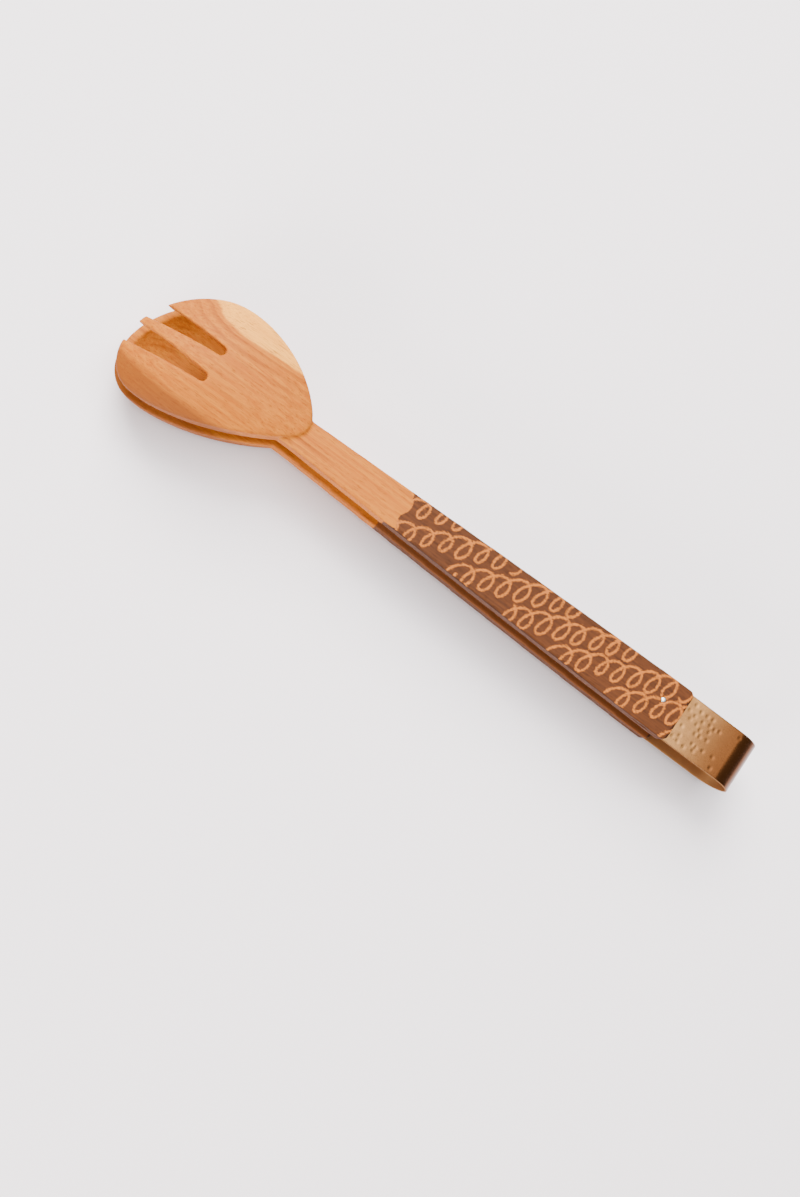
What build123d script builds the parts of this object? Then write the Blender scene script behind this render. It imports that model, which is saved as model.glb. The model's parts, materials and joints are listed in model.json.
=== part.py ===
from build123d import *
import math
import os

# Spring loaded kitchen tongs: two carved wooden arms joined by a bent brass strap.
# X runs from the heads to the bend, Y across the arms, Z from the spoon arm up to the
# fork arm. While it is built the part sits with its hinge axis on the Y axis.

# Arms
arm_thickness = 7.0
head_length = 76.0
neck_length = 50.0
handle_length = 139.0
neck_half_width = 6.8
stain_line_half_width = 8.4
grip_half_width = 10.7
end_half_width = 11.75
grip_from_end = 58.0
end_corner_radius = 2.5

# Heads: an egg outline, slanted and set a little to one side, domed outside and scooped inside
fork_half_width = 27.2
spoon_half_width = 27.6
widest_from_neck = 53.5
neck_taper = 0.36
head_slant = 0.32
head_offset = 1.3
crown_height = 13.5
crown_from_neck = 38.5
shoulder_height = 8.2
tip_thickness = 2.6
back_radius = 46.0
back_half_span = 36.0
blank_depth = 40.0
rim_width = 3.0
scoop_depth = 8.8
scoop_neck_inset = 7.0
back_rounding = 1.4

# Fork slots
slot_end_from_neck = 42.5
slot_end_width = 4.0
slot_end_offset = 6.2
slot_mouth_width = 9.6
slot_mouth_offset = 6.2

# Brass strap, its saw cuts and its pins
strap_width = 22.5
strap_thickness = 0.8
strap_free_length = 26.6
strap_inset = 3.1
strap_buried_length = 19.0
bend_radius = 10.3
saw_cut_height = 0.9
saw_cut_length = 19.5
pin_diameter = 2.2
pin_from_end = 10.0
pin_offset = 1.8
pin_clearance = 0.03
closing_angle = 0.3

arm_gap = 2 * (bend_radius - arm_thickness + strap_inset)
wood_end_x = -strap_free_length
pin_x = wood_end_x - pin_from_end
neck_x = wood_end_x - handle_length - neck_length
tip_x = neck_x - head_length
front_axis = head_length - widest_from_neck
crown_drop = crown_height - tip_thickness
neck_overlap = 18.0
cutter_excess = 2.0


def egg_point(fraction, half_width, back_length, front_length):
    """Distance from the neck and half width; fraction runs 0 at the neck to 1 at the tip."""
    angle = math.pi * fraction
    across = half_width * math.sin(angle)
    if fraction > 0.5:
        return widest_from_neck - front_length * math.cos(angle), across
    taper = 1 - neck_taper * math.cos(angle) ** 2
    return widest_from_neck - back_length * math.cos(angle), across * taper


def egg_face(half_width, slant):
    """Flat slanted outline of a head, in the plane of the arm's inner face."""
    steps = 12
    outline = []
    for i in range(-steps + 1, steps + 1):
        along, across = egg_point(abs(i) / steps, half_width, widest_from_neck, front_axis)
        y = math.copysign(across, i)
        outline.append((neck_x - along + slant * y, y))
    return make_face([Spline(*outline, periodic=True)])


def back_height(along):
    """Height of the domed back above the inner face, on the centre line."""
    if along >= crown_from_neck:
        reach = (along - crown_from_neck) / (head_length - crown_from_neck)
        return crown_height - crown_drop * reach**2
    reach = 1 - along / crown_from_neck
    return crown_height - (crown_height - shoulder_height) * reach**2


def arch_section(along, slant, half_span, spring_z, top_z, base_z):
    """Upright slanted section: an arch on a block, across a head."""
    slanted = Plane((neck_x - along, 0, 0), x_dir=(slant, 1, 0), z_dir=(1, -slant, 0))
    half_chord = half_span * math.hypot(1, slant)
    arch = ThreePointArc((-half_chord, spring_z), (0, top_z), (half_chord, spring_z))
    block = Polyline(
        (half_chord, spring_z), (half_chord, base_z), (-half_chord, base_z), (-half_chord, spring_z)
    )
    return slanted * make_face([arch, block])


def dome(slant):
    """Long block whose arched top is the back of a head."""
    arch_rise = back_radius - math.sqrt(back_radius**2 - back_half_span**2)
    sections = []
    for i in range(-2, 11):
        along = head_length * i / 8
        top_z = back_height(along)
        spring_z = top_z - arch_rise
        sections.append(
            arch_section(along, slant, back_half_span, spring_z, top_z, -blank_depth)
        )
    return loft(sections)


def scoop(half_width, slant):
    """Cutter for the hollow in the inner face of a head."""
    inner_half_width = half_width - rim_width
    axis_drop = (inner_half_width**2 - scoop_depth**2) / (2 * scoop_depth)
    back_length = widest_from_neck - scoop_neck_inset
    steps = 12
    sections = []
    for i in range(1, steps):
        along, across = egg_point(i / steps, inner_half_width, back_length, front_axis - rim_width)
        depth = math.hypot(across, axis_drop) - axis_drop
        sections.append(arch_section(along, slant, across, 0, depth, -cutter_excess))
    return loft(sections)


def head(half_width, side):
    """Domed, scooped head lying on its inner face; side is the way it leans, 1 or -1."""
    slant = side * head_slant
    blank = extrude(egg_face(half_width, slant), crown_height + cutter_excess)
    solid = blank & dome(slant)
    back_edge = solid.edges().filter_by(GeomType.LINE, reverse=True).sort_by(Axis.Z)[-1]
    solid = fillet(back_edge, back_rounding) - scoop(half_width, slant)
    return Pos(0, side * head_offset, 0) * solid


def handle_blank():
    """Neck and handle: a tapering plank with rounded corners at the strap end."""
    neck_side = (neck_x - neck_overlap, neck_half_width)
    side_points = [
        (neck_x, neck_half_width),
        (neck_x + neck_length, stain_line_half_width),
        (wood_end_x - grip_from_end, grip_half_width),
        (wood_end_x, end_half_width),
    ]
    taper = Spline(*side_points, tangents=((1, 0.03), (1, 0.01)))
    lead = Line(neck_side, side_points[0])
    half_end = Line(side_points[-1], (wood_end_x, 0))
    start_cap = Line((neck_x - neck_overlap, 0), neck_side)
    half = [start_cap, lead, taper, half_end]
    outline = make_face(half + [mirror(edge, about=Plane.XZ) for edge in half])
    plank = extrude(outline, arm_thickness)
    end_corners = plank.edges().filter_by(Axis.Z).group_by(Axis.X)[-1]
    plank = fillet(end_corners, end_corner_radius)
    return plank


def fork_slots():
    """Two cutters that taper from the tips to round closed ends."""
    cutters = []
    closed_x = neck_x - slot_end_from_neck
    mouth_x = tip_x - cutter_excess
    end_half = slot_end_width / 2
    mouth_half = slot_mouth_width / 2
    for side in (-1, 1):
        end_y = side * slot_end_offset
        mouth_y = side * slot_mouth_offset
        round_start = closed_x - end_half
        sides = Polyline(
            (round_start, end_y - end_half),
            (mouth_x, mouth_y - mouth_half),
            (mouth_x, mouth_y + mouth_half),
            (round_start, end_y + end_half),
        )
        round_end = ThreePointArc(sides @ 1, (closed_x, end_y), sides @ 0)
        outline = make_face([sides, round_end])
        below = Pos(0, 0, -cutter_excess)
        cutters.append(extrude(below * outline, crown_height + 2 * cutter_excess))
    return cutters


def arm(half_width, side):
    """One carved arm on its inner face, back upward, with the saw cut and pin hole."""
    solid = handle_blank() + head(half_width, side)
    strap_z = arm_thickness - strap_inset
    saw_cut = Pos(wood_end_x - saw_cut_length / 2, 0, strap_z) * Box(
        saw_cut_length + 0.01, 4 * end_half_width, saw_cut_height
    )
    hole = Pos(pin_x, pin_offset, arm_thickness / 2) * Cylinder(
        pin_diameter / 2 + pin_clearance, arm_thickness + cutter_excess
    )
    return solid - saw_cut - hole


def arm_pin():
    """Plain rivet pin through an arm and the strap leg inside it."""
    middle = Pos(pin_x, pin_offset, arm_thickness / 2)
    return middle * Cylinder(pin_diameter / 2, arm_thickness)


def strap():
    """Brass strip bent to a U, its legs following the two arms."""
    leg_start = wood_end_x - strap_buried_length
    tilt = Rot(0, -closing_angle, 0)
    lower_end = Vector(leg_start, 0, -bend_radius)
    lower_bend = Vector(0, 0, -bend_radius)
    upper_bend = (tilt * Pos(0, 0, bend_radius)).position
    upper_end = (tilt * Pos(leg_start, 0, bend_radius)).position
    bend = ThreePointArc(lower_bend, (bend_radius, 0, 0), upper_bend)
    path = Line(lower_end, lower_bend) + bend + Line(upper_bend, upper_end)
    section = Plane(lower_end, x_dir=(0, 1, 0), z_dir=(1, 0, 0)) * Rectangle(
        strap_width, strap_thickness
    )
    strip = sweep(section, path)
    drill = Cylinder(pin_diameter / 2 + pin_clearance, strap_thickness + cutter_excess)
    lower_hole = Pos(pin_x, -pin_offset, -bend_radius) * drill
    upper_hole = tilt * Pos(pin_x, pin_offset, bend_radius) * drill
    return strip - lower_hole - upper_hole


def place_spoon(solid):
    """Turns a piece built back upward over, and sets it on the lower side."""
    return Pos(0, 0, -arm_gap / 2) * Rot(180, 0, 0) * solid


def place_fork(solid):
    """Sets a piece on the upper side and tilts it towards the spoon arm."""
    return Rot(0, -closing_angle, 0) * Pos(0, 0, arm_gap / 2) * solid


fork = arm(fork_half_width, 1)
for cutter in fork_slots():
    fork -= cutter
nodes = {
    "fork_arm": place_fork(fork),
    "spoon_arm": place_spoon(arm(spoon_half_width, -1)),
    "spring_strap": strap(),
    "fork_arm_pin": place_fork(arm_pin()),
    "spoon_arm_pin": place_spoon(arm_pin()),
}

# The origin is the middle of the bounding box, at its lowest face.
boxes = [solid.bounding_box() for solid in nodes.values()]
low_x = min(box.min.X for box in boxes)
high_x = max(box.max.X for box in boxes)
low_z = min(box.min.Z for box in boxes)
to_origin = Pos(-(low_x + high_x) / 2, 0, -low_z)
os.makedirs("parts", exist_ok=True)
for name, solid in nodes.items():
    export_step(to_origin * solid, f"parts/{name}.step")
hinge = to_origin.position
print("hinge axis at x, z:", round(hinge.X, 3), round(hinge.Z, 3))
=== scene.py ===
import json
import math
import random

import bpy
import bmesh
import numpy as np
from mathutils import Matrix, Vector, kdtree


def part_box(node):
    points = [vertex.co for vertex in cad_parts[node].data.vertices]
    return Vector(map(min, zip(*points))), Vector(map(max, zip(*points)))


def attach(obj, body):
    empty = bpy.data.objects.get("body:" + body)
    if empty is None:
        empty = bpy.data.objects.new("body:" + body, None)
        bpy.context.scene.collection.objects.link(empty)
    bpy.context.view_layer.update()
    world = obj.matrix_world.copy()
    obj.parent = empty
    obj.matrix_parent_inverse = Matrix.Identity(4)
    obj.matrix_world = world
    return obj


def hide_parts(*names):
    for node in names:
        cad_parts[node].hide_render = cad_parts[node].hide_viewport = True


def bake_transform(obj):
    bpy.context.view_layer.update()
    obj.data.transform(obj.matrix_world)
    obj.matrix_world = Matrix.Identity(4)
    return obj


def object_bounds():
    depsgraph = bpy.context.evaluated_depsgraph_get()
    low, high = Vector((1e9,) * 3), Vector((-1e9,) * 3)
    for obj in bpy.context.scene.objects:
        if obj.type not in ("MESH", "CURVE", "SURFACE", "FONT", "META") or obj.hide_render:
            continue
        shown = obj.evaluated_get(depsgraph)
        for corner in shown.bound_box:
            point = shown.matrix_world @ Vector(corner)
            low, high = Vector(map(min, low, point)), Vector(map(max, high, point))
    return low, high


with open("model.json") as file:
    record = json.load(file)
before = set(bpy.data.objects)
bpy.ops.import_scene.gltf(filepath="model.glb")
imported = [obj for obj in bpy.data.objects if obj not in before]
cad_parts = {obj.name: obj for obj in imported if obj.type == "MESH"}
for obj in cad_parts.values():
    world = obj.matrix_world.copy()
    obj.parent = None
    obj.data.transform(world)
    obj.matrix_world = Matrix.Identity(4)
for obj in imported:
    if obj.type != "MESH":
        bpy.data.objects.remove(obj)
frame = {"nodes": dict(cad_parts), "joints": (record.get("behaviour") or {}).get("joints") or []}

# Spring loaded kitchen tongs: two carved wooden arms on a bent, hammered brass strap.
# Lengths are in metres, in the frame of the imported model: X runs from the heads to the
# bend, Y across the arms, Z up from the spoon arm to the fork arm.

MM = 0.001
cad_box = [list(corner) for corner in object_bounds()]
hinge = Vector(frame["joints"][0]["pos_m"])

# The arms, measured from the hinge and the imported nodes
arm_thickness = 7.0 * MM
fork_tilt = math.radians(0.3)
arm_gap = 12.8 * MM
wood_end_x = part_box("fork_arm")[1].x
fork_face_z = hinge.z + arm_gap / 2
spoon_face_z = hinge.z - arm_gap / 2

# The dark stain on the handles, and the light cursive loops in it
stain_from_end = 139.0 * MM
stain_side_lead = 5.0 * MM
loop_row_angle = math.radians(20)
loop_row_spacing = 29.0 * MM
loop_first_row = -8.4 * MM
loop_rows = 7
loop_pitch = 7.6 * MM
loop_half_width = 3.8 * MM
loop_half_height = 4.2 * MM
loop_lean = 0.5
loop_turns = 4
loop_steps = 160
loop_height_range = (0.84, 1.1)
loop_slip = 0.5 * MM

# Grain, in millimetres across the growth rings, which lean from upright. The sapwood of
# the spoon arm would start outside it, so it shows none.
ring_width = 2.3
fork_ring_lean = math.radians(38)
fork_sapwood_from = 19.4
spoon_ring_lean = math.radians(50)
spoon_sapwood_from = 60.0
# Painted shade: past this depth across the rings the heartwood darkens, on the -Y flanks, which
# face away from the key light
shade_depth_from = -8.0
shade_depth_full = -13.0

# The strap
strap_width = 22.5 * MM
strap_thickness = 0.8 * MM
strap_radius = 10.3 * MM
strap_start_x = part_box("spring_strap")[0].x
strap_edge_radius = 0.25 * MM
# Painted reflection: the brass darkens over this length past the wood towards the bend, standing in
# for the dark reflection it picks up there
bend_reflection_length = 26.0 * MM

# The hammer marks: thick near the wood, few further on, none along the edges
mark_spacing = 3.3 * MM
mark_scatter = 0.3
mark_reach = 9.0 * MM
mark_zone = (2.0 * MM, 17.0 * MM)
mark_chance = 0.85
stray_mark_chance = 0.12
dent_depth = 0.055 * MM
dent_radius = 1.15 * MM
dent_fade = 0.8 * MM
dent_left_at_edge = 0.35

# How finely the pieces are made
voxel = 0.5 * MM
strap_step = 0.35 * MM
pin_segments = 40

# Noise: how fast it changes per millimetre along X, Y and Z
wander_scale = (0.012, 0.05, 0.05)
ripple_scale = (0.05, 0.4, 0.4)
ring_patch_scale = (0.015, 0.16, 0.16)
streak_scale = (0.025, 0.9, 0.9)
fibre_scale = (0.12, 3.6, 3.6)
pore_scale = (0.28, 2.3, 2.3)
stain_edge_scale = (0.5, 1.6, 1.6)
grit_scale = (0.9, 3.4, 3.4)
wear_scale = (0.8, 2.6, 2.6)
cloud_scale = (0.14, 0.14, 0.14)
rub_scale = (0.5, 9.0, 9.0)
scratch_scale = (2.0, 14.0, 2.0)


def srgb(red, green, blue):
    """Linear colour from 0-255 display values."""
    def linear(value):
        value /= 255
        return value / 12.92 if value < 0.04045 else ((value + 0.055) / 1.055) ** 2.4
    return (linear(red), linear(green), linear(blue), 1.0)


# ---------------------------------------------------------------- colours
heart_dark = srgb(163, 86, 18)
heart_light = srgb(180, 106, 28)
heart_ring = srgb(132, 64, 13)
# Painted shade for the heartwood on the flanks that face away from the key light
heart_painted_shade = srgb(110, 56, 16)
cream_dark = srgb(218, 142, 50)
cream_light = srgb(230, 162, 68)
cream_ring = srgb(188, 116, 40)
bare_fibre = srgb(130, 64, 14)
bare_pore = srgb(106, 50, 12)
stain_dark = srgb(68, 36, 15)
stain_light = srgb(86, 46, 20)
stain_fibre = srgb(52, 26, 11)
stain_pore = srgb(38, 18, 8)
# Painted light: a lighter stain for the inner faces, standing in for light that the other arm keeps
# off them
inner_face_painted_light = srgb(138, 80, 40)
# Painted shade: a near black for the top of the side faces and the wood's end over the strap,
# standing in for the shade there
edge_painted_shade = srgb(34, 16, 8)
loop_wood = srgb(172, 98, 36)
brass_bright = srgb(138, 100, 60)
brass_dull = srgb(118, 82, 47)
# Painted reflection: the dark brown that the bend reflects
brass_bend_reflection = srgb(96, 58, 30)
# Painted light: a lighter brass for the strap's inner face, standing in for light lost between the
# legs
brass_inside_painted_light = srgb(150, 106, 66)
pin_grey = srgb(196, 200, 198)
pin_bright = srgb(232, 236, 232)
floor_paper = srgb(242, 235, 238)
room_grey = srgb(232, 232, 236)


# ---------------------------------------------------------------- shader helpers
def new_material(name):
    """An empty node material with its principled shader."""
    material = bpy.data.materials.new(name)
    material.use_nodes = True
    tree = material.node_tree
    return material, tree, tree.nodes["Principled BSDF"]


def connect(tree, source, socket):
    """Links a socket, or sets a plain value on it."""
    if isinstance(source, bpy.types.NodeSocket):
        tree.links.new(source, socket)
    else:
        socket.default_value = source


def maths(tree, operation, *values):
    """One arithmetic node."""
    node = tree.nodes.new("ShaderNodeMath")
    node.operation = operation
    for value, socket in zip(values, node.inputs):
        connect(tree, value, socket)
    return node.outputs[0]


def step_between(tree, value, low, high):
    """Smooth step of a value from 0 at low to 1 at high."""
    node = tree.nodes.new("ShaderNodeMapRange")
    node.interpolation_type = "SMOOTHSTEP"
    connect(tree, value, node.inputs["Value"])
    node.inputs["From Min"].default_value = low
    node.inputs["From Max"].default_value = high
    return node.outputs["Result"]


def mix_colour(tree, factor, first, second, blend="MIX"):
    """Mixes two colours."""
    node = tree.nodes.new("ShaderNodeMix")
    node.data_type = "RGBA"
    node.blend_type = blend
    connect(tree, factor, node.inputs[0])
    connect(tree, first, node.inputs[6])
    connect(tree, second, node.inputs[7])
    return node.outputs[2]


def tinted(tree, colour, mask, strength, tint):
    """A colour moved towards a tint, by a strength where the mask is 1."""
    return mix_colour(tree, maths(tree, "MULTIPLY", mask, strength), colour, tint)


def separated(tree, vector):
    """The X, Y and Z of a vector."""
    node = tree.nodes.new("ShaderNodeSeparateXYZ")
    tree.links.new(vector, node.inputs[0])
    return node.outputs


def scaled(tree, vector, scale, offset=(0, 0, 0)):
    """A vector times a scale on each axis, plus an offset."""
    node = tree.nodes.new("ShaderNodeVectorMath")
    node.operation = "MULTIPLY_ADD"
    tree.links.new(vector, node.inputs[0])
    node.inputs[1].default_value = scale
    node.inputs[2].default_value = offset
    return node.outputs[0]


def noise(tree, vector, scale, detail=3.0, roughness=0.5, offset=(0, 0, 0)):
    """Value noise from 0 to 1, stretched by a scale per axis."""
    node = tree.nodes.new("ShaderNodeTexNoise")
    tree.links.new(scaled(tree, vector, scale, offset), node.inputs["Vector"])
    node.inputs["Scale"].default_value = 1.0
    node.inputs["Detail"].default_value = detail
    node.inputs["Roughness"].default_value = roughness
    return node.outputs["Fac"]


def object_millimetres(tree):
    """Object coordinates in millimetres."""
    coordinates = tree.nodes.new("ShaderNodeTexCoord")
    return scaled(tree, coordinates.outputs["Object"], (1000, 1000, 1000))


def attribute(tree, name):
    """A number kept on the mesh's points."""
    node = tree.nodes.new("ShaderNodeAttribute")
    node.attribute_name = name
    return node.outputs["Fac"]


def bump(tree, height, strength, distance, normal=None):
    """A bump node, on top of an earlier one if given."""
    node = tree.nodes.new("ShaderNodeBump")
    node.inputs["Strength"].default_value = strength
    node.inputs["Distance"].default_value = distance
    tree.links.new(height, node.inputs["Height"])
    if normal is not None:
        tree.links.new(normal, node.inputs["Normal"])
    return node.outputs["Normal"]


# ---------------------------------------------------------------- materials
def ring_depth(tree, place, ring_lean, face_z, shift):
    """Distance across the growth rings in millimetres, from the middle of the inner face.

    The rings are sheets that lean by ring_lean from upright, and wander a little."""
    axes = separated(tree, place)
    rise = maths(tree, "SUBTRACT", axes["Z"], face_z / MM)
    across = maths(tree, "MULTIPLY", axes["Y"], math.cos(ring_lean))
    upward = maths(tree, "MULTIPLY", rise, math.sin(ring_lean))
    depth = maths(tree, "ADD", across, upward)
    wander = noise(tree, place, wander_scale, 2.0, 0.5, shift)
    wander = maths(tree, "MULTIPLY_ADD", wander, 5.0, -2.5)
    ripple = noise(tree, place, ripple_scale, 2.0, 0.5, shift)
    ripple = maths(tree, "MULTIPLY_ADD", ripple, 1.2, -0.6)
    return maths(tree, "ADD", depth, maths(tree, "ADD", wander, ripple))


def ring_lines(tree, place, depth, sapwood_from, shift):
    """Growth rings: each darkens slowly and ends sharply, and shows most by the sapwood."""
    ring = maths(tree, "FRACT", maths(tree, "DIVIDE", depth, ring_width))
    late = step_between(tree, ring, 0.25, 0.90)
    sharp_end = step_between(tree, ring, 1.0, 0.90)
    line = maths(tree, "MULTIPLY", late, sharp_end)
    patches = noise(tree, place, ring_patch_scale, 1.0, 0.5, shift)
    patches = step_between(tree, patches, 0.42, 0.68)
    near_sapwood = step_between(tree, depth, sapwood_from - 12, sapwood_from)
    return maths(tree, "MULTIPLY", line, maths(tree, "MAXIMUM", patches, near_sapwood))


def loop_lines(tree, place, shift):
    """The loops, 1 on the line: its edges break up along the grain and it is worn in places."""
    grit = noise(tree, place, grit_scale, 3.0, 0.65, shift)
    grit = maths(tree, "MULTIPLY_ADD", grit, 2.8, -1.4)
    distance = maths(tree, "ADD", attribute(tree, "loop_distance"), grit)
    line = step_between(tree, distance, 0.62, 0.38)
    worn = noise(tree, place, wear_scale, 2.0, 0.6, shift)
    worn = step_between(tree, worn, 0.66, 0.50)
    return maths(tree, "MULTIPLY", line, maths(tree, "MULTIPLY_ADD", worn, 0.45, 0.55))


def wood(name, ring_lean, face_z, sapwood_from, seed):
    """Carved wood with growth rings, a stained handle and loops left light in the stain.

    Past sapwood_from, a distance across the rings in millimetres, the wood is cream."""
    material, tree, shader = new_material(name)
    place = object_millimetres(tree)
    shift = (seed * 17.3, seed * 5.1, seed * 9.7)
    depth = ring_depth(tree, place, ring_lean, face_z, shift)
    ring_line = ring_lines(tree, place, depth, sapwood_from, shift)
    streaks = noise(tree, place, streak_scale, 3.0, 0.55, shift)
    streak_shade = step_between(tree, streaks, 0.3, 0.7)
    fibres = noise(tree, place, fibre_scale, 3.0, 0.6, shift)
    fibre_shade = step_between(tree, fibres, 0.62, 0.38)
    pores = noise(tree, place, pore_scale, 2.0, 0.5, shift)
    pores = step_between(tree, pores, 0.58, 0.66)

    # Bare wood, cream past the sapwood's edge
    heart = mix_colour(tree, streak_shade, heart_dark, heart_light)
    heart = tinted(tree, heart, ring_line, 0.62, heart_ring)
    # Painted shade on the flanks that face away from the key light
    flank_shade_mask = step_between(tree, depth, shade_depth_from, shade_depth_full)
    heart = tinted(tree, heart, flank_shade_mask, 0.8, heart_painted_shade)
    cream = mix_colour(tree, streaks, cream_dark, cream_light)
    cream = tinted(tree, cream, ring_line, 0.15, cream_ring)
    sapwood = step_between(tree, depth, sapwood_from - 0.35, sapwood_from + 0.35)
    bare = mix_colour(tree, sapwood, heart, cream)
    bare = tinted(tree, bare, fibre_shade, 0.22, bare_fibre)
    bare = tinted(tree, bare, pores, 0.42, bare_pore)

    # Stained wood, with painted light on the inner face where the other arm shades it, and painted
    # shade along the edges and the strap end of the outer face
    stained = mix_colour(tree, streak_shade, stain_dark, stain_light)
    stained = tinted(tree, stained, fibre_shade, 0.3, stain_fibre)
    stained = tinted(tree, stained, pores, 0.45, stain_pore)
    stained = tinted(tree, stained, attribute(tree, "inner_face"), 0.45, inner_face_painted_light)
    stained = tinted(tree, stained, attribute(tree, "face_edge"), 0.85, edge_painted_shade)
    loops = loop_lines(tree, place, shift)
    stained = mix_colour(tree, loops, stained, loop_wood)

    edge_noise = noise(tree, place, stain_edge_scale, 3.0, 0.6, shift)
    edge_noise = maths(tree, "SUBTRACT", edge_noise, 0.5)
    stain_edge = maths(tree, "ADD", attribute(tree, "stain_edge"), edge_noise)
    stain = step_between(tree, stain_edge, -0.15, 0.25)
    tree.links.new(mix_colour(tree, stain, bare, stained), shader.inputs["Base Color"])

    polish = maths(tree, "MULTIPLY_ADD", fibres, 0.2, 0.46)
    polish = maths(tree, "MULTIPLY_ADD", pores, 0.12, polish)
    tree.links.new(polish, shader.inputs["Roughness"])
    shader.inputs["Specular IOR Level"].default_value = 0.1
    relief = maths(tree, "SUBTRACT", maths(tree, "MULTIPLY", fibres, 0.6), pores)
    normal = bump(tree, relief, 0.35, 0.06 * MM)
    normal = bump(tree, loops, 0.6, 0.07 * MM, normal)
    tree.links.new(normal, shader.inputs["Normal"])
    return material


def brass():
    """Hammered brass, rubbed along its length, darker towards the bend and dull inside."""
    material, tree, shader = new_material("strap_brass")
    place = object_millimetres(tree)
    cloud = noise(tree, place, cloud_scale, 4.0, 0.6)
    rub = noise(tree, place, rub_scale, 2.0, 0.6)
    cloud_shade = step_between(tree, cloud, 0.3, 0.75)
    colour = mix_colour(tree, cloud_shade, brass_bright, brass_dull)
    # Painted reflection: the brass darkens from the wood's end towards the bend
    bend_reflection_end = (wood_end_x + bend_reflection_length) / MM
    bend_reflection = step_between(tree, separated(tree, place)["X"], wood_end_x / MM, bend_reflection_end)
    colour = mix_colour(tree, bend_reflection, colour, brass_bend_reflection)
    # Painted light: the inner face gets lighter brass, standing in for light lost between the legs;
    # its extra roughness is real
    inside = attribute(tree, "inside")
    colour = mix_colour(tree, inside, colour, brass_inside_painted_light)
    tree.links.new(colour, shader.inputs["Base Color"])
    shader.inputs["Metallic"].default_value = 1.0
    polish = maths(tree, "MULTIPLY", cloud, 0.16)
    polish = maths(tree, "ADD", polish, maths(tree, "MULTIPLY", rub, 0.08))
    polish = maths(tree, "ADD", polish, maths(tree, "MULTIPLY", inside, 0.34))
    tree.links.new(maths(tree, "ADD", polish, 0.14), shader.inputs["Roughness"])
    tree.links.new(bump(tree, rub, 0.10, 0.02 * MM), shader.inputs["Normal"])
    return material


def pin_metal():
    """Filed aluminium pin."""
    material, tree, shader = new_material("pin_metal")
    place = object_millimetres(tree)
    scratches = noise(tree, place, scratch_scale, 3.0, 0.6)
    colour = mix_colour(tree, scratches, pin_grey, pin_bright)
    tree.links.new(colour, shader.inputs["Base Color"])
    shader.inputs["Metallic"].default_value = 1.0
    polish = maths(tree, "MULTIPLY_ADD", scratches, 0.2, 0.2)
    tree.links.new(polish, shader.inputs["Roughness"])
    tree.links.new(bump(tree, scratches, 0.3, 0.02 * MM), shader.inputs["Normal"])
    return material


# ---------------------------------------------------------------- shared mesh code
def search_tree(points):
    """Tree that finds the nearest of some points."""
    tree = kdtree.KDTree(len(points))
    for i, point in enumerate(points):
        tree.insert(point, i)
    tree.balance()
    return tree


def finished(blank, name):
    """Object with a smooth mesh made from a bmesh, which is freed."""
    bmesh.ops.recalc_face_normals(blank, faces=blank.faces)
    mesh = bpy.data.meshes.new(name)
    blank.to_mesh(mesh)
    blank.free()
    mesh.shade_smooth()
    piece = bpy.data.objects.new(name, mesh)
    bpy.context.collection.objects.link(piece)
    return piece


# ---------------------------------------------------------------- arms
def carved_copy(node_name, name):
    """Even, dense copy of a CAD solid with its sharp edges eased."""
    piece = bpy.data.objects.new(name, frame["nodes"][node_name].data.copy())
    bpy.context.collection.objects.link(piece)
    weld = piece.modifiers.new("weld", "WELD")
    weld.merge_threshold = 0.001 * MM
    remesh = piece.modifiers.new("remesh", "REMESH")
    remesh.mode = "VOXEL"
    remesh.voxel_size = voxel
    smooth = piece.modifiers.new("smooth", "SMOOTH")
    smooth.factor = 0.5
    smooth.iterations = 5
    bpy.context.view_layer.update()
    evaluated = piece.evaluated_get(bpy.context.evaluated_depsgraph_get())
    piece.data = bpy.data.meshes.new_from_object(evaluated)
    piece.modifiers.clear()
    piece.data.shade_smooth()
    return piece


def loop_tree():
    """Search tree of points along all rows of loops, in the plane of a handle's face."""
    chance = random.Random(7)
    points = []
    advance = loop_pitch / (2 * math.pi)
    along_row = Vector((math.cos(loop_row_angle), math.sin(loop_row_angle), 0))
    up_row = Vector((-math.sin(loop_row_angle), math.cos(loop_row_angle), 0))
    first_x = wood_end_x - stain_from_end + loop_first_row
    knots = 2 * loop_turns + 2
    for row in range(loop_rows):
        middle = Vector((first_x + row * loop_row_spacing, 0, 0))
        phase = chance.uniform(0, 1)
        heights = [chance.uniform(*loop_height_range) for _ in range(knots)]
        slips = [chance.uniform(-loop_slip, loop_slip) for _ in range(knots)]
        for i in range(2 * loop_turns * loop_steps):
            turn = i / loop_steps
            whole = int(turn)
            part = turn - whole
            ease = part * part * (3 - 2 * part)
            height = heights[whole] * (1 - ease) + heights[whole + 1] * ease
            slip = slips[whole] * (1 - ease) + slips[whole + 1] * ease
            angle = 2 * math.pi * (turn - loop_turns + phase)
            rise = -loop_half_height * height * math.cos(angle) + slip
            swing = loop_half_width * height * math.sin(angle)
            run = advance * angle - swing + loop_lean * rise
            points.append(middle + along_row * run + up_row * rise)
    return search_tree(points)


def ramp(values, start, length):
    """0 up to start, then rising to 1 over a length, for an array."""
    return np.clip((values - start) / length, 0, 1)


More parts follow.
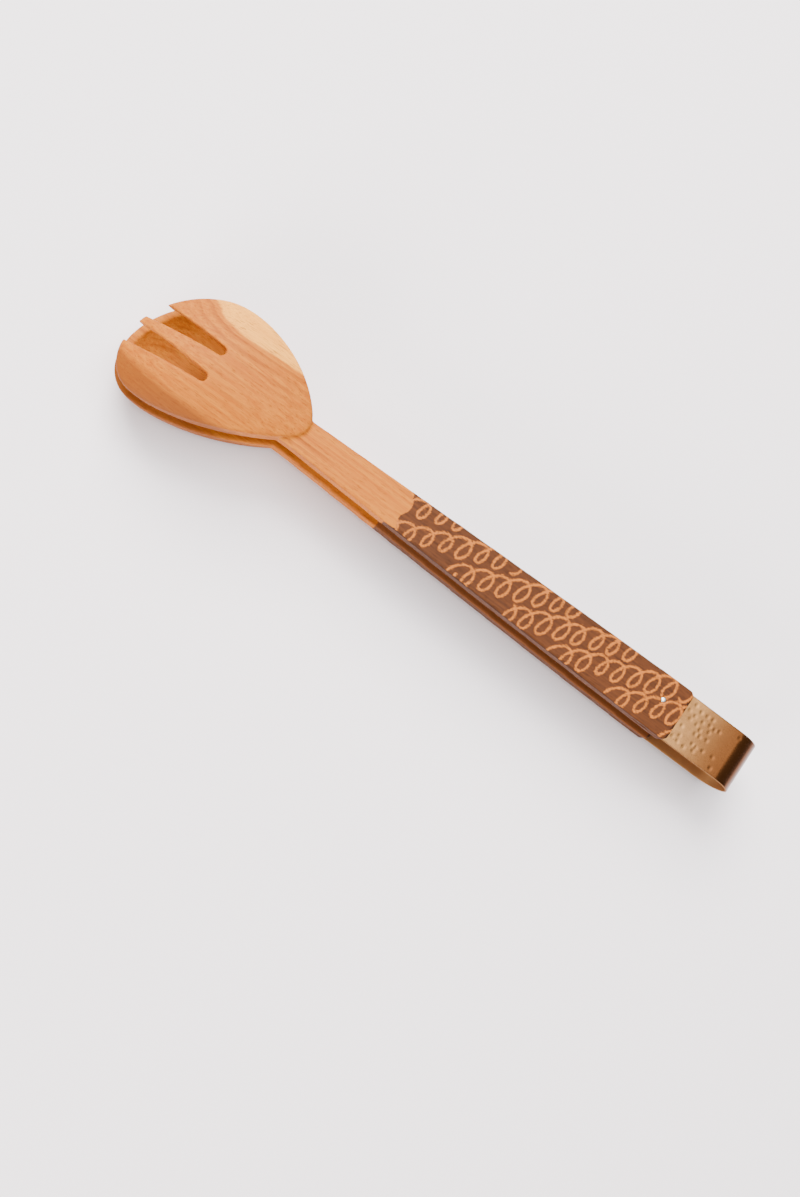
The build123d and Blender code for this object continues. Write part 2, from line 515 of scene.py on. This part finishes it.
def mark_handle(piece, loops, side, face_z, tilt):
    """Keeps on each point what the wood material needs to know about the handle.

    stain_edge is the distance past the stain's edge and loop_distance the distance to the
    nearest loop, both in millimetres; inner_face and face_edge are 1 on the inner face, and
    along the edges and the strap end of the outer face. side is 1 for the fork arm and -1
    for the spoon arm, which is its mirror."""
    mesh = piece.data
    count = len(mesh.vertices)
    places = np.empty(count * 3)
    mesh.vertices.foreach_get("co", places)
    x, y, z = places.reshape(-1, 3).T
    inner = face_z + np.tan(tilt) * (x - hinge.x)
    height = side * (z - inner)
    turned_y = side * y
    on_face = ramp(height, arm_thickness - 0.5 * MM, 0.3 * MM)
    waves = 0.9 * MM * np.cos((turned_y / MM - 2.3) * 0.55) - 0.4 * MM
    face_edge = wood_end_x - stain_from_end + waves
    side_edge = wood_end_x - stain_from_end - stain_side_lead
    stain_edge = x - (face_edge * on_face + side_edge * (1 - on_face))
    distance = np.full(count, 10.0)
    near = np.nonzero((on_face > 0.5) & (stain_edge > -2 * MM))[0]
    for i in near:
        distance[i] = loops.find((x[i], turned_y[i], 0))[2] / MM
    # Mask for the painted light on the inner face
    inner_face = ramp(-height, -0.9 * MM, 0.5 * MM)
    # Masks for painted shade: the top of the side faces, and the wood's end over the strap
    below_face = ramp(height, arm_thickness - 1.3 * MM, 0.6 * MM) * (1 - on_face)
    near_end = ramp(x, wood_end_x - 1.3 * MM, 0.5 * MM)
    layers = {
        "stain_edge": stain_edge / MM,
        "loop_distance": distance,
        "inner_face": inner_face,
        "face_edge": np.maximum(below_face, near_end),
    }
    for name, values in layers.items():
        layer = mesh.attributes.new(name, "FLOAT", "POINT")
        layer.data.foreach_set("value", values.astype(np.float32))


# ---------------------------------------------------------------- strap
def strap_path(distance):
    """Centre line of the strap and its outward direction, at a distance from the lower end."""
    leg = hinge.x - strap_start_x
    bend = strap_radius * (math.pi + fork_tilt)
    if distance < leg:
        return Vector((strap_start_x + distance, 0, hinge.z - strap_radius)), Vector((0, 0, -1))
    if distance < leg + bend:
        angle = (distance - leg) / strap_radius
        outward = Vector((math.sin(angle), 0, -math.cos(angle)))
        return hinge + outward * strap_radius, outward
    outward = Vector((-math.sin(fork_tilt), 0, math.cos(fork_tilt)))
    back = Vector((-math.cos(fork_tilt), 0, -math.sin(fork_tilt)))
    return hinge + outward * strap_radius + back * (distance - leg - bend), outward


def hammer_marks(length):
    """Search tree of hammer blows over the flattened strap."""
    chance = random.Random(3)
    buried = wood_end_x - strap_start_x
    blows = []
    for i in range(int(length / mark_spacing) + 2):
        for j in range(int(strap_width / mark_spacing) + 3):
            slip = chance.uniform(-mark_scatter, mark_scatter)
            along = (i + 0.5 * (j % 2) + slip) * mark_spacing
            slip = chance.uniform(-mark_scatter, mark_scatter)
            across = (j - 1 + slip) * mark_spacing - strap_width / 2
            from_wood = min(along, length - along) - buried
            in_zone = mark_zone[0] < from_wood < mark_zone[1]
            likely = mark_chance if in_zone else stray_mark_chance
            if abs(across) < mark_reach and chance.random() < likely:
                blows.append((along, across, 0))
    return search_tree(blows)


def strap_section():
    """Points round the strap's section, as distance across and height over its centre line.

    The outer face comes first. Also gives how many points that face has, and half the
    width of its flat part."""
    half_thick = strap_thickness / 2
    flat = strap_width / 2 - strap_edge_radius
    count = int(2 * flat / strap_step)
    outer = [(-flat + 2 * flat * j / count, half_thick) for j in range(count + 1)]
    corner = [
        (flat + strap_edge_radius * math.sin(a), half_thick - strap_edge_radius * (1 - math.cos(a)))
        for a in (math.radians(30), math.radians(60), math.radians(90))
    ]
    edge = corner + [(y, -offset) for y, offset in reversed(corner)]
    inner = [(-y, -offset) for y, offset in outer]
    other_edge = [(-y, -offset) for y, offset in edge]
    return outer + edge + inner + other_edge, len(outer), flat


def hammered_strap():
    """The brass strip with rounded edges and shallow hammer marks on its outer face."""
    length = 2 * (hinge.x - strap_start_x) + strap_radius * (math.pi + fork_tilt)
    marks = hammer_marks(length)
    section, outer_count, flat = strap_section()
    size = len(section)
    blank = bmesh.new()
    rings = []
    steps = int(length / strap_step)
    for i in range(steps + 1):
        distance = length * i / steps
        centre, outward = strap_path(distance)
        ring = []
        for k, (y, offset) in enumerate(section):
            if k < outer_count:
                gap = marks.find((distance, y, 0))[2]
                dent = dent_depth * max(0.0, 1 - (gap / dent_radius) ** 2) ** 1.5
                fade = min(1.0, (flat - abs(y)) / dent_fade)
                offset -= dent * (dent_left_at_edge + (1 - dent_left_at_edge) * fade)
            ring.append(blank.verts.new(centre + outward * offset + Vector((0, y, 0))))
        rings.append(ring)
    for ring, following in zip(rings, rings[1:]):
        for k in range(size):
            after = (k + 1) % size
            blank.faces.new((ring[k], ring[after], following[after], following[k]))
    blank.faces.new(list(reversed(rings[0])))
    blank.faces.new(rings[-1])
    piece = finished(blank, "hammered_strap")
    inside = [float(i % size >= outer_count) for i in range(len(piece.data.vertices))]
    layer = piece.data.attributes.new("inside", "FLOAT", "POINT")
    layer.data.foreach_set("value", inside)
    return piece


# ---------------------------------------------------------------- pins
def pin(node_name, name, outward):
    """Pin as a turned body: its ends are slightly domed, with filed rims."""
    low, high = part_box(node_name)
    radius = (high.y - low.y) / 2
    middle = (low + high) / 2
    half = (high.z - low.z) / 2
    # Share of the radius, and drop from the end in millimetres
    profile = [
        (0.0, 0.0),
        (0.45, -0.02),
        (0.75, -0.07),
        (0.92, -0.16),
        (1.0, -0.32),
    ]
    top = [(share * radius, half + drop * MM) for share, drop in profile]
    bottom = [(r, -height) for r, height in reversed(top)]
    turned = bmesh.new()
    rings = []
    for r, height in (top + bottom)[1:-1]:
        ring = []
        for i in range(pin_segments):
            angle = 2 * math.pi * i / pin_segments
            point = Vector((r * math.cos(angle), r * math.sin(angle), outward * height))
            ring.append(turned.verts.new(middle + point))
        rings.append(ring)
    for ring, following in zip(rings, rings[1:]):
        for i in range(pin_segments):
            j = (i + 1) % pin_segments
            turned.faces.new((ring[i], ring[j], following[j], following[i]))
    for ring, height in ((rings[0], half), (rings[-1], -half)):
        tip = turned.verts.new(middle + Vector((0, 0, outward * height)))
        for i in range(pin_segments):
            turned.faces.new((ring[i], ring[(i + 1) % pin_segments], tip))
    return finished(turned, name)


# ---------------------------------------------------------------- build
loops = loop_tree()
fork = carved_copy("fork_arm", "carved_fork_arm")
mark_handle(fork, loops, 1, fork_face_z, fork_tilt)
spoon = carved_copy("spoon_arm", "carved_spoon_arm")
mark_handle(spoon, loops, -1, spoon_face_z, 0.0)
fork_grain = wood("fork_wood_grain", fork_ring_lean, fork_face_z, fork_sapwood_from, 1)
fork.data.materials.clear()
fork.data.materials.append(fork_grain)
spoon_grain = wood("spoon_wood_grain", spoon_ring_lean, spoon_face_z, spoon_sapwood_from, 4)
spoon.data.materials.clear()
spoon.data.materials.append(spoon_grain)
strap = hammered_strap()
strap.data.materials.append(brass())
silver = pin_metal()
fork_pin = pin("fork_arm_pin", "fork_pin", 1)
fork_pin.data.materials.append(silver)
spoon_pin = pin("spoon_arm_pin", "spoon_pin", -1)
spoon_pin.data.materials.append(silver)

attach(fork, "fork_side")
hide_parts("fork_arm")
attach(spoon, "spoon_side")
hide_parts("spoon_arm")
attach(fork_pin, "fork_side")
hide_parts("fork_arm_pin")
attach(spoon_pin, "spoon_side")
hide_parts("spoon_arm_pin")
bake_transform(strap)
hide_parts("spring_strap")

# ---------------------------------------------------------------- floor, light and camera
floor_reach = 12.0
floor_drop = 0.5 * MM
floor_mesh = bpy.data.meshes.new("floor")
floor_corners = [
    (-floor_reach, -floor_reach, 0),
    (floor_reach, -floor_reach, 0),
    (floor_reach, floor_reach, 0),
    (-floor_reach, floor_reach, 0),
]
floor_mesh.from_pydata(floor_corners, [], [(0, 1, 2, 3)])
floor = bpy.data.objects.new("floor", floor_mesh)
bpy.context.collection.objects.link(floor)
floor.location.z = cad_box[0][2] - floor_drop
floor_material, floor_tree, floor_shader = new_material("floor_paper")
floor_shader.inputs["Base Color"].default_value = floor_paper
floor_shader.inputs["Roughness"].default_value = 0.9
floor_mesh.materials.append(floor_material)


def area_light(name, location, size, power, colour):
    """Square soft light aimed at the middle of the tongs; size in metres, power in watts."""
    data = bpy.data.lights.new(name, "AREA")
    data.size = size
    data.energy = power
    data.color = colour
    lamp = bpy.data.objects.new(name, data)
    lamp.location = location
    lamp.rotation_euler = (-Vector(location)).to_track_quat("-Z", "Y").to_euler()
    bpy.context.collection.objects.link(lamp)


area_light("key", (-1.1, 1.3, 1.6), 1.5, 165, (1.0, 0.98, 0.95))
area_light("overhead", (0.0, 0.5, 2.4), 1.8, 90, (1.0, 1.0, 1.0))
area_light("fill", (-0.3, -1.5, 0.5), 0.8, 44, (1.0, 0.96, 0.93))
world = bpy.data.worlds.new("room")
bpy.context.scene.world = world
world.use_nodes = True
room = world.node_tree.nodes["Background"]
room.inputs["Color"].default_value = room_grey
room.inputs["Strength"].default_value = 0.52

camera_data = bpy.data.cameras.new("camera")
camera_data.sensor_width = 36
camera_data.lens = 48.04
camera = bpy.data.objects.new("camera", camera_data)
camera.location = (wood_end_x - 0.2021, -0.1363, 0.6425)
camera.rotation_euler = [math.radians(angle) for angle in (3.695, -11.858, 35.533)]
bpy.context.collection.objects.link(camera)
bpy.context.scene.camera = camera
